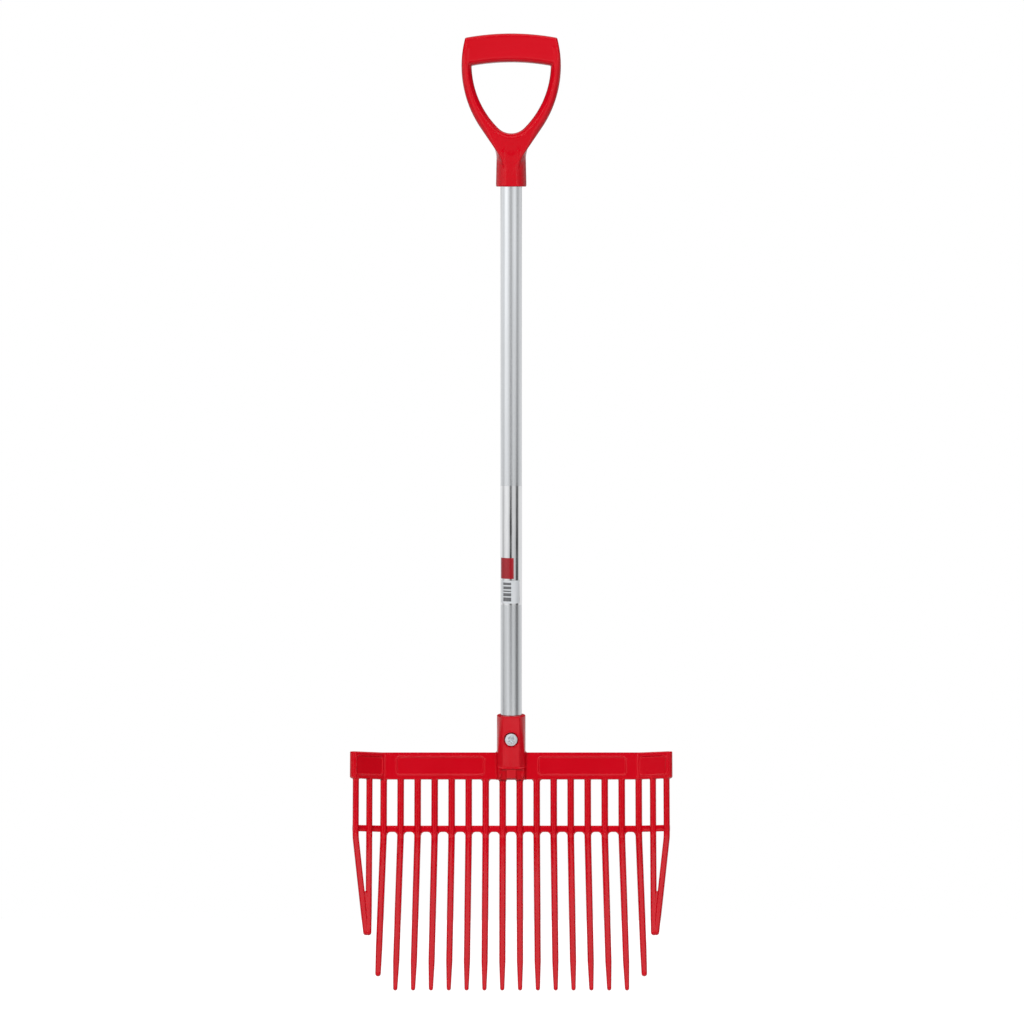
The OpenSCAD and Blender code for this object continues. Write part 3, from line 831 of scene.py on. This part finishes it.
def make_fasteners():
    """The head's bolt and nut, and the grip's screw."""
    length = bolt_high[1] - bolt_low[1]
    head_d, head_h = bolt_high[0] - bolt_low[0], 4.0
    shape = domed_distance(head_d, head_h, rim=2.3, shank_r=3.0, shank_len=length - head_h,
                           cross_span=8.4, slot_w=2.3, slot_depth=3.0, turn=pi / 4)
    verts, faces = surface_net(shape, (-8, -8, head_h - length - 0.8), (8, 8, head_h + 0.8), 0.32)
    seat_y = bolt_low[1] + head_h
    verts = np.column_stack([verts[:, 0], seat_y - verts[:, 2], bolt_z + verts[:, 1]])
    add_piece("head_bolt_turned", verts, faces, ZINC, "fasteners", "head_bolt")

    nut_h, nut_af, nut_hole_r = nut_high[1] - nut_low[1], 10.0, 3.05

    def nut_distance(x, y, z):
        out = np.hypot(x, y)
        past = np.abs(z - nut_h / 2) - nut_h / 2
        flats = smax(hexagon(x, y) - nut_af / 2, past, 0.25)
        chamfer = (out - nut_af / 2 - 0.1 + past * 1.6) * 0.53
        hole = nut_hole_r + 0.55 * np.maximum(past + 0.7, 0)
        return smax(smax(flats, chamfer, 0.2), hole - out, 0.2)

    verts, faces = surface_net(nut_distance, (-7, -7, -0.8), (7, 7, nut_h + 0.8), 0.3)
    verts = np.column_stack([verts[:, 0], nut_low[1] + verts[:, 2], bolt_z + verts[:, 1]])
    add_piece("head_nut_pressed", verts, [f[::-1] for f in faces], ZINC, "fasteners", "head_nut")

    length, head_d, head_h = screw_high[1] - screw_low[1], screw_high[0] - screw_low[0], 2.6
    shape = domed_distance(head_d, head_h, rim=0.6, shank_r=2.0, shank_len=length - head_h,
                           cross_span=4.4, slot_w=1.0, slot_depth=1.5, turn=0.0)
    verts, faces = surface_net(shape, (-4.5, -4.5, head_h - length - 0.6), (4.5, 4.5, head_h + 0.6), 0.22)
    seat_y = screw_high[1] - head_h
    verts = np.column_stack([verts[:, 0], seat_y + verts[:, 2], screw_z + verts[:, 1]])
    add_piece("grip_screw_turned", verts, [f[::-1] for f in faces], ZINC, "fasteners", "grip_screw")


make_tube()
make_label()
make_grip()
make_panel()
make_socket()
make_crossbar()
make_tines()
make_fasteners()


# Stage, light and camera

def seen_rays(nodes, links):
    """One where a camera, glossy or transmission ray looks, else zero."""
    rays = nodes.new("ShaderNodeLightPath").outputs
    seen = maths(nodes, links, "MAXIMUM", rays["Is Camera Ray"], rays["Is Glossy Ray"])
    return maths(nodes, links, "MAXIMUM", seen, rays["Is Transmission Ray"])


def make_world():
    """White to the camera, a soft even room to matt surfaces, and a studio to shiny ones.

    The studio's ramps give its brightness by bearing, in degrees from the front to the
    right, and are blended by z, the upward part of the direction.
    """
    world = bpy.data.worlds.new("studio")
    bpy.context.scene.world = world
    world.use_nodes = True
    nodes, links = world.node_tree.nodes, world.node_tree.links
    nodes.clear()

    def plus(first, second):
        return maths(nodes, links, "ADD", first, second)

    def times(first, second):
        return maths(nodes, links, "MULTIPLY", first, second)

    def step(value, low, high, first=0.0, second=1.0):
        node = nodes.new("ShaderNodeMapRange")
        node.interpolation_type = "SMOOTHSTEP"
        for name, number in (("From Min", low), ("From Max", high), ("To Min", first), ("To Max", second)):
            node.inputs[name].default_value = number
        links.new(value, node.inputs["Value"])
        return node.outputs["Result"]

    def ramp(*stops):
        node = nodes.new("ShaderNodeValToRGB")
        elements = node.color_ramp.elements
        while len(elements) < len(stops):
            elements.new(0.5)
        for element, (degrees, level) in zip(elements, stops):
            element.position = (degrees + 180) / 360
            element.color = (level, level, level, 1)
        links.new(bearing, node.inputs["Fac"])
        return node.outputs["Color"]

    def blend(factor, first, second):
        return plus(times(first, maths(nodes, links, "SUBTRACT", 1.0, factor)), times(second, factor))

    split = nodes.new("ShaderNodeSeparateXYZ")
    links.new(nodes.new("ShaderNodeTexCoord").outputs["Generated"], split.inputs[0])
    x, y, z = split.outputs
    turn = maths(nodes, links, "ARCTAN2", x, times(y, -1.0))
    bearing = plus(times(turn, 0.5 / pi), 0.5)
    level = ramp((-180, 0.90), (-100, 0.92), (-84, 0.95), (-60, 1.45), (-40, 1.35), (-12, 0.60), (0, 0.44),
                 (14, 0.86), (34, 1.16), (50, 1.02), (72, 0.45), (86, 0.60), (106, 0.80), (180, 0.80))
    low = ramp((-180, 0.85), (-120, 0.85), (-104, 0.55), (-88, 0.44), (-74, 0.72), (-50, 0.80), (-34, 0.75),
               (-17, 0.53), (-6, 0.38), (6, 0.50), (20, 0.60), (32, 0.60), (48, 0.38), (65, 0.17),
               (74, 0.28), (94, 0.75), (180, 0.80))
    card = ramp((-180, 0.85), (-128, 0.80), (-105, 0.20), (-58, 0.10), (-28, 1.35), (28, 1.20), (58, 0.10),
                (105, 0.20), (128, 0.80), (180, 0.80))
    below = ramp((-180, 0.85), (-120, 0.80), (-95, 0.60), (-48, 0.55), (-26, 0.18), (26, 0.18), (48, 0.55),
                 (95, 0.60), (120, 0.80), (180, 0.85))
    high = ramp((-180, 0.06), (-54, 0.03), (-45, 0.82), (-29, 0.82), (-18, 0.03), (18, 0.03), (27, 0.60),
                (42, 0.60), (51, 0.03), (180, 0.06))
    # Shares of the above: a dark card behind the part, and dark strips that the label's film shows
    behind = ramp((-180, 0.12), (-142, 0.12), (-126, 1.0), (126, 1.0), (142, 0.12), (180, 0.12))
    gaps = ramp((-180, 1.0), (-17, 1.0), (-14, 0.06), (4, 0.06), (7, 1.0), (51, 1.0), (54, 0.06),
                (73, 0.06), (77, 1.0), (180, 1.0))
    lower = blend(step(z, -0.17, -0.15), blend(step(z, -0.36, -0.28), below, card), low)
    studio = blend(step(z, -0.11, 0.0), lower, level)
    flag = times(step(z, -0.25, -0.23), step(z, -0.165, -0.15, 1.0, 0.0))
    studio = times(studio, blend(plus(flag, step(z, -0.002, 0.012)), 1.0, behind))
    band = times(step(z, -0.118, -0.108), step(z, -0.082, -0.068, 1.0, 0.0))
    studio = times(studio, blend(band, 1.0, gaps))
    studio = blend(step(z, 0.045, 0.082), studio, high)
    studio = blend(step(z, 0.50, 0.72), studio, 1.0)
    out = nodes.new("ShaderNodeOutputWorld")
    mix, shown = nodes.new("ShaderNodeMixShader"), nodes.new("ShaderNodeMixShader")
    room, white, boxes = (nodes.new("ShaderNodeBackground") for _ in range(3))
    for background in (room, white, boxes):
        background.inputs["Color"].default_value = (1, 1, 1, 1)
    room.inputs["Strength"].default_value = 0.12
    white.inputs["Strength"].default_value = 1.0
    links.new(studio, boxes.inputs["Strength"])
    links.new(nodes.new("ShaderNodeLightPath").outputs["Is Camera Ray"], shown.inputs[0])
    links.new(boxes.outputs[0], shown.inputs[1])
    links.new(white.outputs[0], shown.inputs[2])
    links.new(seen_rays(nodes, links), mix.inputs[0])
    links.new(room.outputs[0], mix.inputs[1])
    links.new(shown.outputs[0], mix.inputs[2])
    links.new(mix.outputs[0], out.inputs["Surface"])


def make_floor():
    """A plain pale floor a little under the part, which fades to white at the back."""
    half, front, back, z = 1.7, 0.4, 0.8, cad_box[0].z - 0.12
    mesh = bpy.data.meshes.new("floor")
    corners = [(-half, -front, z), (half, -front, z), (half, back, z), (-half, back, z)]
    mesh.from_pydata(corners, [], [(0, 1, 2, 3)])
    floor = bpy.data.objects.new("floor", mesh)
    bpy.context.scene.collection.objects.link(floor)
    mat = bpy.data.materials.new("pale_floor")
    mat.use_nodes = True
    nodes, links = mat.node_tree.nodes, mat.node_tree.links
    nodes.clear()
    out = nodes.new("ShaderNodeOutputMaterial")
    mix, shown = nodes.new("ShaderNodeMixShader"), nodes.new("ShaderNodeAddShader")
    paint, tint = nodes.new("ShaderNodeBsdfDiffuse"), nodes.new("ShaderNodeBsdfDiffuse")
    glow = nodes.new("ShaderNodeEmission")
    paint.inputs["Color"].default_value = (0.72, 0.72, 0.72, 1)
    tint.inputs["Color"].default_value = (0.20, 0.20, 0.20, 1)
    split, fade = nodes.new("ShaderNodeSeparateXYZ"), nodes.new("ShaderNodeMapRange")
    links.new(nodes.new("ShaderNodeTexCoord").outputs["Object"], split.inputs["Vector"])
    for name, number in (("From Min", 0.1), ("From Max", 0.75), ("To Min", 0.93), ("To Max", 0.99)):
        fade.inputs[name].default_value = number
    links.new(split.outputs["Y"], fade.inputs["Value"])
    links.new(fade.outputs["Result"], glow.inputs["Strength"])
    links.new(glow.outputs[0], shown.inputs[0])
    links.new(tint.outputs[0], shown.inputs[1])
    links.new(seen_rays(nodes, links), mix.inputs[0])
    links.new(paint.outputs[0], mix.inputs[1])
    links.new(shown.outputs[0], mix.inputs[2])
    links.new(mix.outputs[0], out.inputs["Surface"])
    mesh.materials.append(mat)


def add_light(name, place, target, size, power):
    """A soft area lamp, which shiny surfaces don't show: they show the world's studio."""
    lamp = bpy.data.lights.new(name, "AREA")
    lamp.shape = "RECTANGLE"
    lamp.size, lamp.size_y = size
    lamp.energy = power
    light = bpy.data.objects.new(name, lamp)
    light.location = place
    light.visible_glossy = light.visible_camera = False
    light.rotation_euler = (Vector(target) - Vector(place)).to_track_quat("-Z", "Y").to_euler()
    bpy.context.scene.collection.objects.link(light)


def make_camera():
    """The photo's camera. Its focal length was found in pixels of a picture 1024 wide."""
    data = bpy.data.cameras.new("photo_camera")
    sensor_w, focal_px, picture_px = 36.0, 3844, 1024
    data.sensor_fit, data.sensor_width = "HORIZONTAL", sensor_w
    data.lens = focal_px / picture_px * sensor_w
    camera = bpy.data.objects.new("photo_camera", data)
    camera.location = (0.00094, -4.4836, -0.1388)
    camera.rotation_euler = Vector((0, 0.99635, -0.08542)).to_track_quat("-Z", "Y").to_euler()
    bpy.context.scene.collection.objects.link(camera)
    bpy.context.scene.camera = camera


make_world()
make_floor()
middle = (0, 0, -0.5)
add_light("key", (-1.1, -3.0, 1.2), middle, (1.8, 1.8), 98)
add_light("fill", (1.3, -3.0, 0.9), middle, (1.6, 1.6), 35)
add_light("rear_key", (1.1, 3.0, 1.5), middle, (1.8, 1.8), 105)
add_light("rear_fill", (-1.3, 3.0, 0.9), middle, (1.6, 1.6), 35)
make_camera()
bpy.context.scene.view_settings.view_transform = "Standard"
